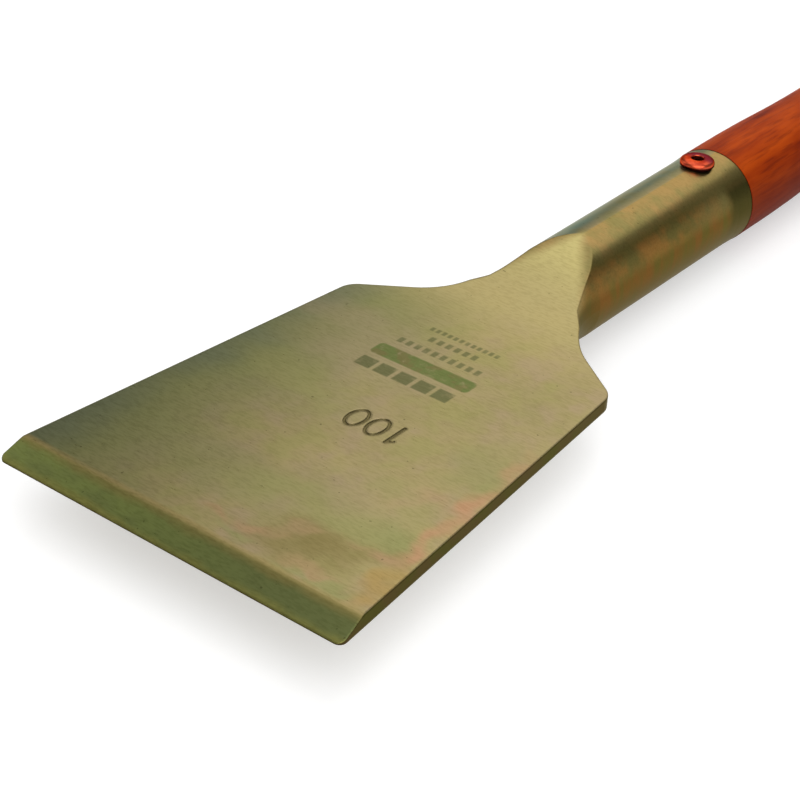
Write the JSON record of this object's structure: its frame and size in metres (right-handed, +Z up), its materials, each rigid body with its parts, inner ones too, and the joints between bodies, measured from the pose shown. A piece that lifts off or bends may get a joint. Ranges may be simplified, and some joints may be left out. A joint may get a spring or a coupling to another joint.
{
  "type": "hand scraper",
  "caption": "Wide-bladed hand scraper: a forged bronze blade whose neck ends in a round socket, with a turned wooden handle held in it by a copper blind rivet.",
  "frame": {"origin": "bottom centre of the whole scraper's bounding box", "axes": "+X across the blade, +Y from the cutting edge to the end of the handle, +Z up from the level blade's top face"},
  "size_m": [0.0996, 0.4, 0.0328],
  "materials": {
    "aluminium_bronze": "forged and tumbled, tarnished",
    "stained_wood": "turned, stained and varnished",
    "copper": "drawn, semi-bright",
    "mandrel_steel": "dull"
  },
  "bodies": {
    "root": {"scraper_head": "aluminium_bronze", "handle": "stained_wood", "rivet_body": "copper", "rivet_mandrel": "mandrel_steel"}
  },
  "joints": []
}
